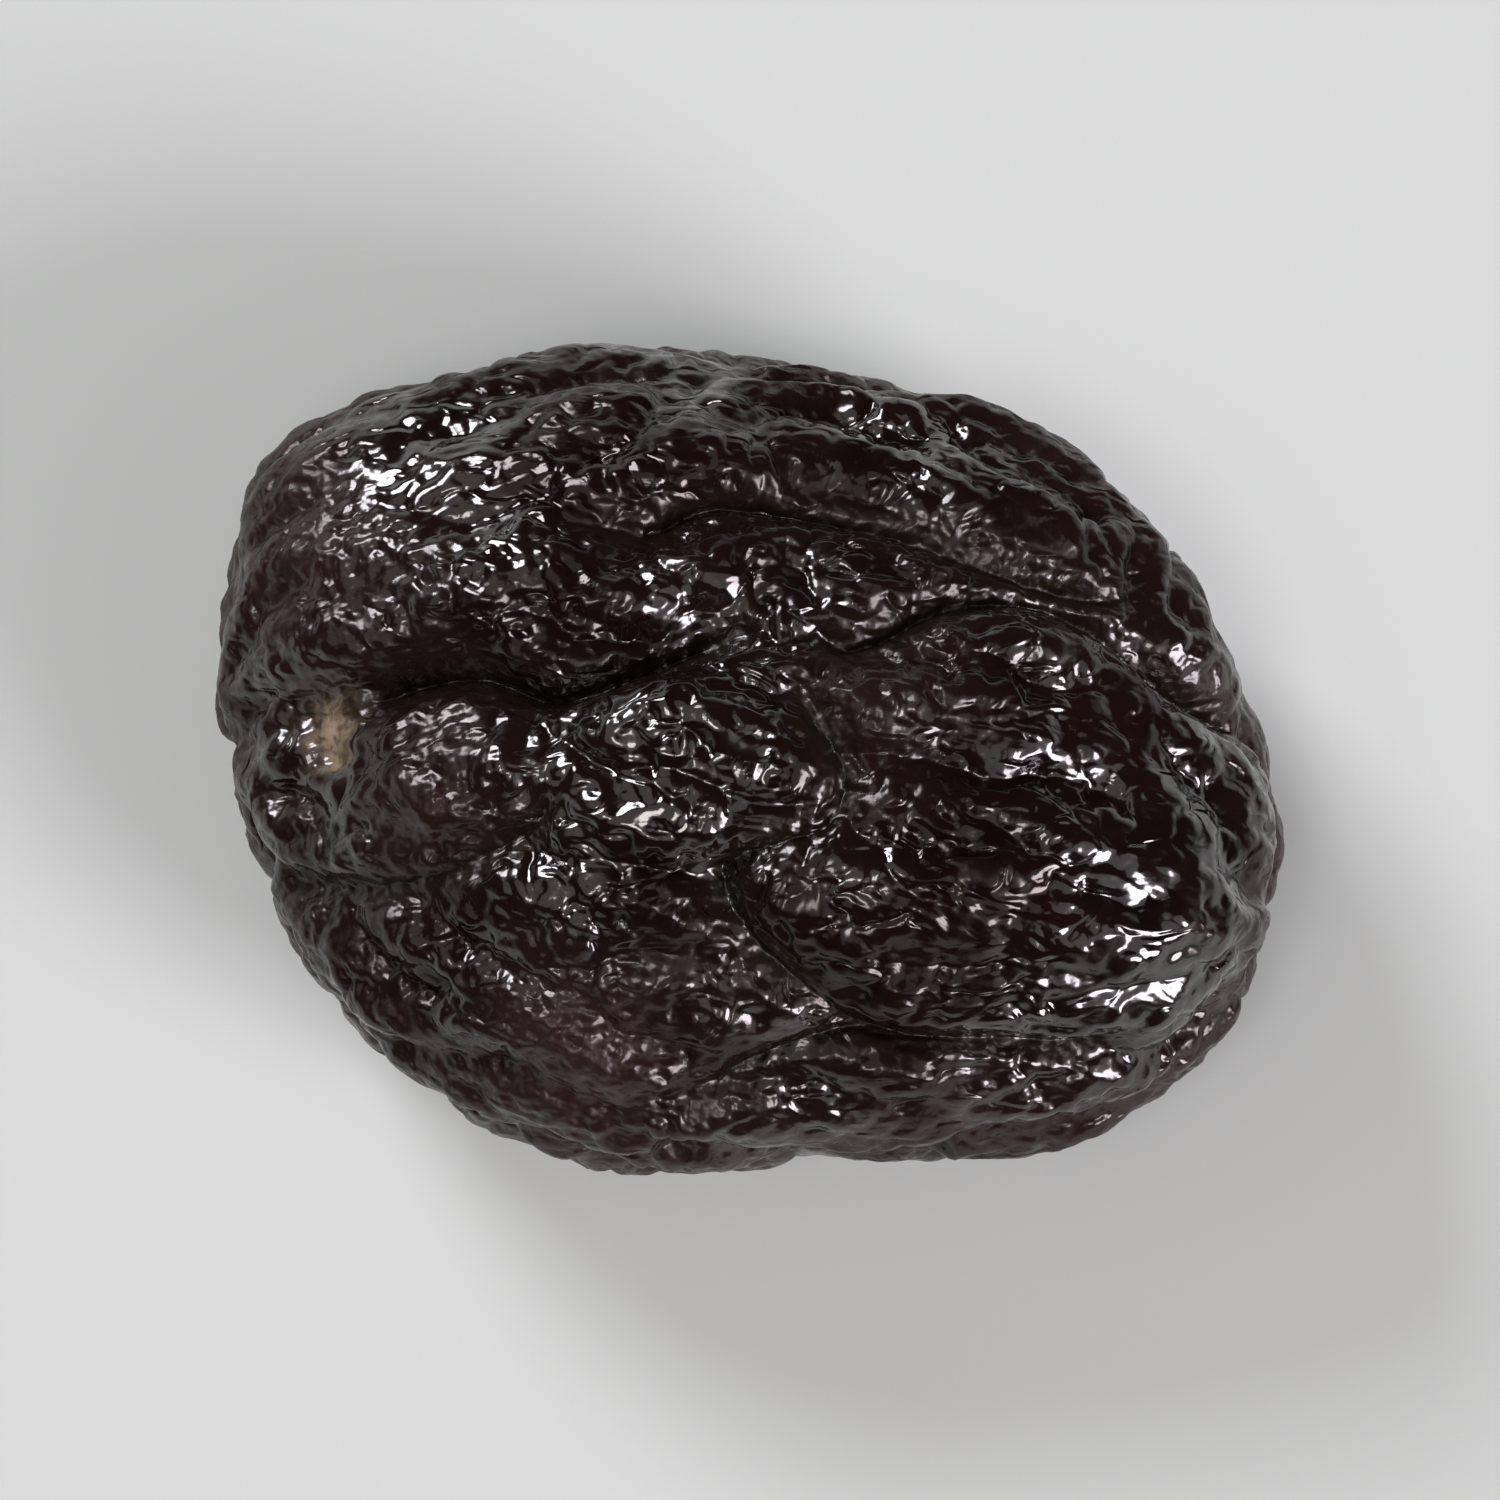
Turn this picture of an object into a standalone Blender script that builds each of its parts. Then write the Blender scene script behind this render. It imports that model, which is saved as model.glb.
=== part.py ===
"""A prune: a moist dried plum without its stone, lying on a small flat spot of its underside.

Metres, +Z up. The origin is under the middle of the fruit, on the surface that it lies on.
+X runs along the fruit, from the stem end at -X to the blossom end at +X.
"""

import math
from collections import namedtuple

import bmesh
import bpy
import numpy as np
from mathutils import Vector, noise

MM = 0.001

# Overall size of the fruit as it lies
LENGTH = 40.0 * MM
WIDTH = 31.4 * MM
HEIGHT = 19.0 * MM

# Mesh: divisions along a quarter of the way round, and how far they are drawn up to the creased top
SEGMENTS = 30
DRAWN_UP = 0.22

# Outline seen from above, as shares of half the length and half the width
OUTLINE = (
    (-1.00, 0.07), (-0.96, 0.54), (-0.83, 0.86), (-0.45, 0.98),
    (0.00, 0.99), (0.40, 0.92), (0.68, 0.69), (0.85, 0.35),
    (0.98, -0.06), (1.00, -0.42), (0.86, -0.77), (0.48, -0.97),
    (-0.05, -1.00), (-0.48, -0.94), (-0.72, -0.67), (-0.88, -0.26),
)

# The outline's corners are rounded by readings on both sides of each place, in steps of this turn
CORNER_TURN = math.radians(9)
CORNER_STEPS = np.linspace(-2, 2, 9)

# The furthest out that a place in plan may lie, as a share of the outline's reach
RIM = 0.999

# Plump flesh before it wrinkles: reach above and below the widest level, and how full its sides are
CROWN = 10.2 * MM
BELLY = 9.6 * MM
FULLNESS = 2.25

# The two ends that the folds run between
STEM_END = (-0.98, 0.02)
BLOSSOM_END = (0.98, -0.42)

# Broad lumps and dimples: soft, round spots on top, placed in plan by shares of half the length and width
Lump = namedtuple("Lump", "u v radius height")
LUMPS = (
    Lump(-0.74, 0.62, 5.0 * MM, 0.9 * MM),
    Lump(-0.48, 0.38, 3.6 * MM, 0.7 * MM),
    Lump(-0.09, 0.70, 3.2 * MM, 0.8 * MM),
    Lump(-0.60, -0.18, 3.0 * MM, 0.8 * MM),
    Lump(-0.34, -0.82, 3.4 * MM, 0.9 * MM),
    Lump(-0.28, -0.50, 4.0 * MM, 0.6 * MM),
    Lump(-0.13, -0.10, 4.0 * MM, 0.9 * MM),
    Lump(0.22, 0.05, 2.8 * MM, 0.7 * MM),
    Lump(0.44, 0.06, 3.0 * MM, 0.6 * MM),
    Lump(0.42, -0.42, 4.5 * MM, 0.5 * MM),
    Lump(0.28, -0.92, 2.6 * MM, 0.5 * MM),
    Lump(0.74, -0.42, 5.0 * MM, 1.1 * MM),
    Lump(-0.07, -0.40, 1.8 * MM, -0.7 * MM),
    Lump(0.84, -0.70, 2.0 * MM, -1.1 * MM),
    Lump(-0.84, -0.01, 2.2 * MM, -0.9 * MM),
    Lump(-0.50, 0.52, 1.6 * MM, -0.5 * MM),
    Lump(0.99, -0.40, 2.4 * MM, -1.0 * MM),
)

# What smooth noise varies: its mean, how much it changes, over what distance, and the noise's own shift
Unevenness = namedtuple("Unevenness", "mean change spacing shift")
SWELLING = Unevenness(0.0, 1.1 * MM, 9.0 * MM, (3.1, 0.7, 9.2))

# Creases: the side of the fruit (1 on top, -1 below), how deep and wide, the rolled lip beside them, and the
# course in plan
Crease = namedtuple("Crease", "side depth width lip course")
CREASES = (
    Crease(1, 1.9 * MM, 1.0 * MM, 0.35 * MM, (
        (-0.80, 0.00), (-0.66, 0.09), (-0.52, 0.11),
        (-0.37, 0.05), (-0.22, 0.12), (-0.05, 0.21), (0.10, 0.23))),
    Crease(1, 1.6 * MM, 1.0 * MM, 0.25 * MM, (
        (0.02, 0.22), (0.20, 0.20), (0.36, 0.28), (0.53, 0.29),
        (0.70, 0.20), (0.86, 0.10), (0.98, 0.00))),
    Crease(1, 1.3 * MM, 1.0 * MM, 0.25 * MM, (
        (-0.30, 0.36), (-0.16, 0.48), (-0.04, 0.54), (0.20, 0.52),
        (0.40, 0.46), (0.60, 0.38), (0.80, 0.30))),
    Crease(1, 0.65 * MM, 0.9 * MM, 0.15 * MM, (
        (0.03, 0.20), (0.10, 0.02), (0.18, -0.14), (0.14, -0.28),
        (-0.04, -0.38), (0.00, -0.54), (0.12, -0.68), (0.36, -0.86))),
    Crease(1, 0.5 * MM, 0.9 * MM, 0.15 * MM, (
        (-0.90, -0.34), (-0.68, -0.40), (-0.52, -0.36), (-0.38, -0.26),
        (-0.30, -0.12))),
    Crease(1, 0.9 * MM, 0.9 * MM, 0.2 * MM, (
        (-0.14, -0.93), (0.05, -0.84), (0.26, -0.80), (0.46, -0.81),
        (0.62, -0.80), (0.77, -0.68))),
    Crease(-1, 1.2 * MM, 1.1 * MM, 0.3 * MM, (
        (-0.80, -0.50), (-0.55, -0.79), (-0.20, -0.92), (0.18, -0.90),
        (0.52, -0.83), (0.84, -0.62))),
    Crease(-1, 1.2 * MM, 1.1 * MM, 0.3 * MM, (
        (-0.84, 0.52), (-0.58, 0.83), (-0.22, 0.90), (0.16, 0.92),
        (0.50, 0.79), (0.80, 0.35))),
    Crease(-1, 1.8 * MM, 1.2 * MM, 0.3 * MM, (
        (-0.95, 0.00), (-0.60, -0.16), (-0.20, -0.10), (0.25, 0.04),
        (0.60, -0.10), (0.94, -0.38))),
)

# Points read from a crease's course, between two of the given ones and then evenly along all of it
COURSE_STEPS = 12
COURSE_POINTS = 60

# The skin beside a crease: how much of its distance to the crease it is drawn in, how far out, in widths of
# the crease, and how near to it the skin closes altogether
PINCH = 0.42
PINCH_REACH = 2.4
SHARPNESS = 0.35 * MM

# A crease's section, in widths of the crease, and the share of its length over which it runs out at each end
VALLEY_ROUNDING = 0.3
LIP_PLACE = 2.6
LIP_SPREAD = 1.3
CREASE_END = 0.18

# How far the folds ease where the skin lies in a crease
EASE_IN_CREASE = 0.8

# Folds of the slack skin, side by side from the stem end to the blossom end
Folds = namedtuple("Folds", "spacing depth reach sway seed")
BROAD_FOLDS = Folds(3.9 * MM, 0.95 * MM, 3.0 * MM, 0.38, 11)
NARROW_FOLDS = Folds(2.2 * MM, 0.50 * MM, 1.6 * MM, 0.55, 23)
MEAN_CREST = 0.64

# The small patches of waves that make up the folds: the skin they cover, the steps between them and where
# they end, as shares of the folds' reach, how much their spacing differs, and how softly the folds fork
SKIN_AREA = 0.76 * math.pi * LENGTH * WIDTH
PATCH_STEP = 0.5
PATCH_LIMIT = 3.0
SPACING_SPREAD = 0.12
FORK_SOFTNESS = 0.35

# How slack the skin is, as a share of the folds' depth: slacker on the sides, and slacker or tighter in
# places on top
SLACK_SKIN = Unevenness(1.0, 0.4, 7.0 * MM, (8.8, 2.2, 5.1))
LEAST_SLACK = 0.25
SIDE_SLACK = 0.5
SIDE_SLACK_REACH = 4.0 * MM
SLACK_SPOTS = (
    Lump(0.38, 0.62, 7.5 * MM, 0.30),
    Lump(-0.10, 0.15, 6.0 * MM, 0.15),
    Lump(0.40, -0.38, 7.0 * MM, -0.50),
    Lump(-0.30, -0.60, 4.5 * MM, -0.30),
    Lump(-0.66, 0.50, 6.0 * MM, -0.45),
)
NARROW_PATCHES = Unevenness(0.55, 0.9, 5.0 * MM, (1.3, 7.2, 4.4))
NARROW_RANGE = (0.08, 1.2)

# The underside, pressed softly below this level and then cut flat
SOFT_FLOOR = 0.86 * BELLY
SOFT_DEPTH = 1.1 * MM
FLAT_DEPTH = 0.12 * MM


def ball(segments):
    """Unit directions and quads of a ball made from a divided cube, with smaller quads towards its top."""
    grid = bmesh.new()
    bmesh.ops.create_cube(grid, size=2.0)
    bmesh.ops.subdivide_edges(grid, edges=grid.edges[:], cuts=segments - 1, use_grid_fill=True)
    points = np.array([corner.co for corner in grid.verts])
    quads = np.array([[corner.index for corner in face.verts] for face in grid.faces])
    grid.free()
    points = np.tan(points * math.pi / 4)
    points /= np.linalg.norm(points, axis=1)[:, None]
    shrink = 1 + DRAWN_UP * points[:, 2:]
    level = points[:, :2] * math.sqrt(1 - DRAWN_UP ** 2) / shrink
    rise = (points[:, 2:] + DRAWN_UP) / shrink
    return np.hstack((level, rise)), quads


def plan_radius(turn):
    """Reach of the outline from the middle, seen from above, with the corners of OUTLINE rounded."""
    corners = np.array(OUTLINE) * (LENGTH / 2, WIDTH / 2)
    corner_turn = np.arctan2(corners[:, 1], corners[:, 0])
    corner_reach = np.hypot(corners[:, 0], corners[:, 1])
    total = 0.0
    weights = 0.0
    for step in CORNER_STEPS:
        weight = math.exp(-step * step / 2)
        total = total + weight * np.interp(
            turn + step * CORNER_TURN, corner_turn, corner_reach, period=2 * math.pi)
        weights += weight
    return total / weights


def plump(directions):
    """Points of the smooth, full fruit in the given directions from its middle."""
    x, y, z = directions.T
    level = np.hypot(x, y) / plan_radius(np.arctan2(y, x))
    rise = np.abs(z) / np.where(z > 0, CROWN, BELLY)
    reach = (level ** FULLNESS + rise ** FULLNESS) ** (-1 / FULLNESS)
    return directions * reach[:, None]


def plump_point(u, v, side):
    """The point of the plump fruit above or below a place in plan."""
    x = u * LENGTH / 2
    y = v * WIDTH / 2
    share = min(np.hypot(x, y) / plan_radius(np.arctan2(y, x)), RIM)
    tall = CROWN if side > 0 else BELLY
    return np.array((x, y, side * tall * (1 - share ** FULLNESS) ** (1 / FULLNESS)))


def normals_of(points, quads):
    """Outward unit normals at the points."""
    a, b, c, d = (points[quads[:, k]] for k in range(4))
    face = np.cross(c - a, d - b)
    total = np.zeros_like(points)
    for k in range(4):
        np.add.at(total, quads[:, k], face)
    return total / np.linalg.norm(total, axis=1)[:, None]


def noise_at(points, spacing, shift):
    """Smooth noise from about -1 to 1 at the points."""
    scaled = points / spacing + np.array(shift)
    return np.array([noise.noise(Vector(place)) for place in scaled])


def uneven(places, unevenness):
    """Value of something that varies over the skin, at each place."""
    return unevenness.mean + unevenness.change * noise_at(places, unevenness.spacing, unevenness.shift)


def spots_at(places, spots):
    """Sum of soft, round spots on top of the fruit, at each place."""
    total = np.zeros(len(places))
    for spot in spots:
        away = np.linalg.norm(places - plump_point(spot.u, spot.v, 1), axis=1)
        total += spot.height * np.exp(-(away / spot.radius) ** 2)
    return total


def smooth_course(points):
    """Evenly spread points along a smooth curve through the given ones."""
    points = np.array(points)
    padded = np.vstack((2 * points[0] - points[1], points, 2 * points[-1] - points[-2]))
    curve = []
    for a, b, c, d in zip(padded, padded[1:], padded[2:], padded[3:]):
        for t in np.linspace(0, 1, COURSE_STEPS, endpoint=False):
            rise = (c - a) * t + (2 * a - 5 * b + 4 * c - d) * t * t + (3 * b - a - 3 * c + d) * t ** 3
            curve.append(b + rise / 2)
    curve.append(points[-1])
    curve = np.array(curve)
    steps = np.linalg.norm(np.diff(curve, axis=0), axis=1)
    run = np.concatenate(([0], np.cumsum(steps)))
    even = np.linspace(0, run[-1], COURSE_POINTS)
    return np.stack([np.interp(even, run, curve[:, k]) for k in range(3)], axis=1)


def near_course(places, crease):
    """Distance to a crease, share of the way along it, and its nearest point, for each place."""
    course = smooth_course([plump_point(u, v, crease.side) for u, v in crease.course])
    gap = np.full(len(places), np.inf)
    along = np.zeros(len(places))
    nearest = np.zeros_like(places)
    for k, (start, end) in enumerate(zip(course, course[1:])):
        step = end - start
        share = np.clip((places - start) @ step / (step @ step), 0, 1)
        foot = start + share[:, None] * step
        away = np.linalg.norm(places - foot, axis=1)
        closer = away < gap
        gap[closer] = away[closer]
        along[closer] = (k + share[closer]) / (len(course) - 1)
        nearest[closer] = foot[closer]
    return gap, along, nearest


def end_to_end(places):
    """Unit direction of the folds, which leave the stem end and gather at the blossom end."""
    half = np.array((LENGTH / 2, WIDTH / 2, HEIGHT / 2))
    from_stem = places - np.array((*STEM_END, 0)) * half
    from_blossom = places - np.array((*BLOSSOM_END, 0)) * half
    run = from_stem / np.sum(from_stem ** 2, axis=1)[:, None]
    run -= from_blossom / np.sum(from_blossom ** 2, axis=1)[:, None]
    return run / np.linalg.norm(run, axis=1)[:, None]


def spread_directions(count):
    """Directions spread evenly over a ball, on a spiral from its top to its bottom."""
    k = np.arange(count) + 0.5
    z = 1 - 2 * k / count
    turn = math.pi * (1 + 5 ** 0.5) * k
    level = np.sqrt(1 - z * z)
    return np.stack((level * np.cos(turn), level * np.sin(turn), z), axis=1)


def fold_height(places, folds):
    """Height of the folds from 0 in their narrow valleys to 1 on their round crests.

    Small patches of waves are summed. Each crosses the run of the folds, give or take its sway, so that the
    folds wander, fork and end as the wrinkles of a dried skin do.
    """
    rng = np.random.default_rng(folds.seed)
    half = np.array((LENGTH / 2, WIDTH / 2, HEIGHT / 2))
    count = int(SKIN_AREA / (PATCH_STEP * folds.reach) ** 2)
    centres = plump(spread_directions(count))
    up = centres / half ** 2
    up /= np.linalg.norm(up, axis=1)[:, None]
    across = np.cross(up, end_to_end(centres))
    across /= np.linalg.norm(across, axis=1)[:, None]
    run = np.cross(across, up)
    turn = rng.normal(0, folds.sway, count)[:, None]
    spacing = folds.spacing * np.exp(rng.normal(0, SPACING_SPREAD, count))[:, None]
    wave = (across * np.cos(turn) + run * np.sin(turn)) * 2 * math.pi / spacing
    phase = rng.uniform(0, 2 * math.pi, count)
    limit = PATCH_LIMIT * folds.reach
    order = np.argsort(places[:, 0])
    ordered = places[order]
    first = np.searchsorted(ordered[:, 0], centres[:, 0] - limit)
    last = np.searchsorted(ordered[:, 0], centres[:, 0] + limit)
    total = np.zeros(len(places), complex)
    for k in range(count):
        near = ordered[first[k]:last[k]] - centres[k]
        away = np.sum(near ** 2, axis=1)
        inside = away < limit ** 2
        patch = np.exp(-away[inside] / (2 * folds.reach ** 2))
        total[order[first[k]:last[k]][inside]] += patch * np.exp(1j * (near[inside] @ wave[k] + phase[k]))
    strength = np.abs(total)
    strength /= strength + FORK_SOFTNESS * np.median(strength)
    return np.abs(np.cos(np.angle(total) / 2)) * strength + (1 - strength) * MEAN_CREST


def add_lumps(points, quads, places):
    """Raises the broad lumps and the uneven swelling of the flesh, and returns the new normals."""
    lift = uneven(places, SWELLING) + spots_at(places, LUMPS)
    points += normals_of(points, quads) * lift[:, None]
    return normals_of(points, quads)


def add_crease(points, normals, places, crease):
    """Draws the skin in towards the crease, sinks its valley and rolls the skin beside it.

    Returns how near each point is to the crease, from 0 away from it to 1 in its valley.
    """
    gap, along, nearest = near_course(places, crease)
    ends = np.clip(np.minimum(along, 1 - along) / CREASE_END, 0, 1)
    ends = ends * ends * (3 - 2 * ends)
    widths = gap / crease.width
    pull = PINCH * np.exp(-(widths / PINCH_REACH) ** 2) + (1 - PINCH) * np.exp(-(gap / SHARPNESS) ** 4)
    points += (nearest - places) * (ends * pull)[:, None]
    valley = np.exp(VALLEY_ROUNDING - np.hypot(widths, VALLEY_ROUNDING))
    lip = np.exp(-((widths - LIP_PLACE) / LIP_SPREAD) ** 2)
    points += normals * (ends * (crease.lip * lip - crease.depth * valley))[:, None]
    return ends * np.exp(-(widths / LIP_SPREAD) ** 2)


def slackness(places):
    """How slack the skin is at each place, around 1."""
    slack = uneven(places, SLACK_SKIN) + spots_at(places, SLACK_SPOTS)
    slack += SIDE_SLACK * np.exp(-(places[:, 2] / SIDE_SLACK_REACH) ** 2)
    return np.maximum(slack, LEAST_SLACK)


def add_folds(points, normals, places, folds, strength):
    """Folds the skin, by a strength given for each point."""
    lift = folds.depth * strength * (fold_height(places, folds) - MEAN_CREST)
    points += normals * lift[:, None]


def flatten_below(points):
    """Presses the underside softly towards the level that the fruit lies on."""
    depth = np.maximum(SOFT_DEPTH - SOFT_FLOOR - points[:, 2], 0)
    pressed = SOFT_DEPTH - SOFT_FLOOR - SOFT_DEPTH * (1 - np.exp(-depth / SOFT_DEPTH))
    points[:, 2] = np.where(depth > 0, pressed, points[:, 2])


def fit_and_seat(points):
    """Fits the fruit to its overall size and cuts its flat spot, at the level of the origin."""
    points[:, 2] = np.maximum(points[:, 2], points[:, 2].min() + FLAT_DEPTH)
    low = points.min(axis=0)
    high = points.max(axis=0)
    points -= (low + high) / 2
    points *= np.array((LENGTH, WIDTH, HEIGHT)) / (high - low)
    points[:, 2] += HEIGHT / 2


def split_quads(points, quads):
    """Two triangles for each quad, split the way the skin bends less, so that no split bridges a fold."""
    normals = normals_of(points, quads)
    a, b, c, d = quads.T
    bend_ac = np.linalg.norm(normals[a] - normals[c], axis=1)
    bend_bd = np.linalg.norm(normals[b] - normals[d], axis=1)
    along_ac = bend_ac < bend_bd
    first = np.stack((a, b, np.where(along_ac, c, d)), axis=1)
    second = np.stack((np.where(along_ac, a, b), c, d), axis=1)
    return np.vstack((first, second))


def prune_form(segments):
    """Points and triangles of the whole fruit."""
    directions, quads = ball(segments)
    places = plump(directions)
    points = places.copy()
    normals = add_lumps(points, quads, places)
    slack = slackness(places)
    for crease in CREASES:
        slack *= 1 - EASE_IN_CREASE * add_crease(points, normals, places, crease)
    add_folds(points, normals, places, BROAD_FOLDS, slack)
    patchy = np.clip(uneven(places, NARROW_PATCHES), *NARROW_RANGE)
    add_folds(points, normals, places, NARROW_FOLDS, slack * patchy)
    flatten_below(points)
    fit_and_seat(points)
    return points, split_quads(points, quads)


def skin_material():
    """Moist, near-black brown skin."""
    material = bpy.data.materials.new("prune_skin")
    material.use_nodes = True
    shader = material.node_tree.nodes["Principled BSDF"]
    shader.inputs["Base Color"].default_value = (0.018, 0.011, 0.010, 1.0)
    shader.inputs["Roughness"].default_value = 0.35
    shader.inputs["Metallic"].default_value = 0.0
    return material


def main():
    """Clears the scene and makes the fruit."""
    for old in list(bpy.data.objects):
        bpy.data.objects.remove(old, do_unlink=True)
    points, triangles = prune_form(SEGMENTS)
    mesh = bpy.data.meshes.new("prune")
    mesh.from_pydata(points.tolist(), [], triangles.tolist())
    mesh.materials.append(skin_material())
    mesh.shade_smooth()
    prune = bpy.data.objects.new("prune", mesh)
    bpy.context.scene.collection.objects.link(prune)


if __name__ == "__main__":
    main()
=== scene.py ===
"""Dresses the prune: its skin with every fold and wrinkle, and a pale stage with soft light.

Metres, +Z up. The fruit lies on the floor with the middle of its underside at the origin, its length along X.
"""

import math
from collections import namedtuple

import bmesh
import bpy
import numpy as np
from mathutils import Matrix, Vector, noise


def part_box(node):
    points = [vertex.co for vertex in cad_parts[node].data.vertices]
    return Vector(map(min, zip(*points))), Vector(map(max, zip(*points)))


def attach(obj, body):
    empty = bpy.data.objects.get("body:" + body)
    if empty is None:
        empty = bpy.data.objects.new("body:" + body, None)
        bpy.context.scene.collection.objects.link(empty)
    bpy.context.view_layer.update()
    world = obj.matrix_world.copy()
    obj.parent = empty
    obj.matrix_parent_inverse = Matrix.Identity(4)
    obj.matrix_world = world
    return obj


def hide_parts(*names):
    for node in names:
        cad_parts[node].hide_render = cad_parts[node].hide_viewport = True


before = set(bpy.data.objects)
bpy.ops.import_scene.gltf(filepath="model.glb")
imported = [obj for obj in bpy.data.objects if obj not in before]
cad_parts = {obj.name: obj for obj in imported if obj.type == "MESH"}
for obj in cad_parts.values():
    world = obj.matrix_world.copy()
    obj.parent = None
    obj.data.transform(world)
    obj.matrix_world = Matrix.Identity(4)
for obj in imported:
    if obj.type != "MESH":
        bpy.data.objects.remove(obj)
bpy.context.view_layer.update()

bl_info = {
    "name": "Prune",
    "version": (1, 0, 0),
    "blender": (4, 5, 0),
    "location": "3D View > Sidebar > Prune",
    "description": "Makes a moist, wrinkled prune and a pale stage to show it on",
    "category": "Object",
}

MM = 0.001
LOW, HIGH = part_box("prune")
LENGTH, WIDTH, HEIGHT = HIGH - LOW

# How far the skin's divisions are drawn up from the underside to the creased top
DRAWN_UP = 0.22

# Outline seen from above, as shares of half the length and half the width
OUTLINE = (
    (-1.00, 0.07), (-0.96, 0.54), (-0.83, 0.86), (-0.45, 0.98),
    (0.00, 0.99), (0.40, 0.92), (0.68, 0.69), (0.85, 0.35),
    (0.98, -0.06), (1.00, -0.42), (0.86, -0.77), (0.48, -0.97),
    (-0.05, -1.00), (-0.48, -0.94), (-0.72, -0.67), (-0.88, -0.26),
)

# The outline's corners are rounded by readings on both sides of each place, at these steps of this turn
CORNER_TURN = math.radians(9)
CORNER_STEPS = np.linspace(-2, 2, 9)

# The furthest out that a place in plan may lie, as a share of the outline's reach
RIM = 0.999

# Plump flesh before it wrinkles: reach above and below the widest level, and how full its sides are
CROWN = 10.2 * MM
BELLY = 9.6 * MM
FULLNESS = 2.25

# The two ends that the folds run between
STEM_END = (-0.98, 0.02)
BLOSSOM_END = (0.98, -0.42)

# Broad lumps and dimples: soft, round spots on top, placed in plan by shares of half the length and width.
# The spots of slack, dry and wet skin further on have shares as their heights.
Lump = namedtuple("Lump", "u v radius height")
LUMPS = (
    Lump(-0.74, 0.62, 5.0 * MM, 0.9 * MM),
    Lump(-0.48, 0.38, 3.6 * MM, 0.7 * MM),
    Lump(-0.09, 0.70, 3.2 * MM, 0.8 * MM),
    Lump(-0.60, -0.18, 3.0 * MM, 0.8 * MM),
    Lump(-0.34, -0.82, 3.4 * MM, 0.9 * MM),
    Lump(-0.28, -0.50, 4.0 * MM, 0.6 * MM),
    Lump(-0.13, -0.10, 4.0 * MM, 0.9 * MM),
    Lump(0.22, 0.05, 2.8 * MM, 0.7 * MM),
    Lump(0.44, 0.06, 3.0 * MM, 0.6 * MM),
    Lump(0.42, -0.42, 4.5 * MM, 0.5 * MM),
    Lump(0.28, -0.92, 2.6 * MM, 0.5 * MM),
    Lump(0.74, -0.42, 5.0 * MM, 1.1 * MM),
    Lump(-0.07, -0.40, 1.8 * MM, -0.7 * MM),
    Lump(0.84, -0.70, 2.0 * MM, -1.1 * MM),
    Lump(-0.84, -0.01, 2.2 * MM, -0.9 * MM),
    Lump(-0.50, 0.52, 1.6 * MM, -0.5 * MM),
    Lump(0.99, -0.40, 2.4 * MM, -1.0 * MM),
)

# What smooth noise varies: its mean, how much it changes, over what distance, and the noise's own shift
Unevenness = namedtuple("Unevenness", "mean change spacing shift")
SWELLING = Unevenness(0.0, 1.1 * MM, 9.0 * MM, (3.1, 0.7, 9.2))

# Creases: the side of the fruit (1 on top, -1 below), how deep and wide, the rolled lip beside them, and the
# course in plan
Crease = namedtuple("Crease", "side depth width lip course")
CREASES = (
    Crease(1, 1.9 * MM, 1.0 * MM, 0.35 * MM, (
        (-0.80, 0.00), (-0.66, 0.09), (-0.52, 0.11),
        (-0.37, 0.05), (-0.22, 0.12), (-0.05, 0.21), (0.10, 0.23))),
    Crease(1, 1.6 * MM, 1.0 * MM, 0.25 * MM, (
        (0.02, 0.22), (0.20, 0.20), (0.36, 0.28), (0.53, 0.29),
        (0.70, 0.20), (0.86, 0.10), (0.98, 0.00))),
    Crease(1, 1.3 * MM, 1.0 * MM, 0.25 * MM, (
        (-0.30, 0.36), (-0.16, 0.48), (-0.04, 0.54), (0.20, 0.52),
        (0.40, 0.46), (0.60, 0.38), (0.80, 0.30))),
    Crease(1, 0.65 * MM, 0.9 * MM, 0.15 * MM, (
        (0.03, 0.20), (0.10, 0.02), (0.18, -0.14), (0.14, -0.28),
        (-0.04, -0.38), (0.00, -0.54), (0.12, -0.68), (0.36, -0.86))),
    Crease(1, 0.5 * MM, 0.9 * MM, 0.15 * MM, (
        (-0.90, -0.34), (-0.68, -0.40), (-0.52, -0.36), (-0.38, -0.26),
        (-0.30, -0.12))),
    Crease(1, 0.9 * MM, 0.9 * MM, 0.2 * MM, (
        (-0.14, -0.93), (0.05, -0.84), (0.26, -0.80), (0.46, -0.81),
        (0.62, -0.80), (0.77, -0.68))),
    Crease(-1, 1.2 * MM, 1.1 * MM, 0.3 * MM, (
        (-0.80, -0.50), (-0.55, -0.79), (-0.20, -0.92), (0.18, -0.90),
        (0.52, -0.83), (0.84, -0.62))),
    Crease(-1, 1.2 * MM, 1.1 * MM, 0.3 * MM, (
        (-0.84, 0.52), (-0.58, 0.83), (-0.22, 0.90), (0.16, 0.92),
        (0.50, 0.79), (0.80, 0.35))),
    Crease(-1, 1.8 * MM, 1.2 * MM, 0.3 * MM, (
        (-0.95, 0.00), (-0.60, -0.16), (-0.20, -0.10), (0.25, 0.04),
        (0.60, -0.10), (0.94, -0.38))),
)

# Points read from a crease's course, between two of the given ones and then evenly along all of it
COURSE_STEPS = 12
COURSE_POINTS = 60

# The skin beside a crease: how much of its distance to the crease it is drawn in, and how far out, in widths
# of the crease. The creases on top also bite, which draws the nearest skin in further.
PINCH = 0.42
PINCH_REACH = 2.4
BITE = 0.18
BITE_REACH = 0.6

# A crease's section, in widths of the crease, and the share of its length over which it runs out at each end
VALLEY_ROUNDING = 0.3
LIP_PLACE = 2.6
LIP_SPREAD = 1.3
CREASE_END = 0.18

# How far the folds ease where the skin lies in a crease
EASE_IN_CREASE = 0.8

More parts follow.
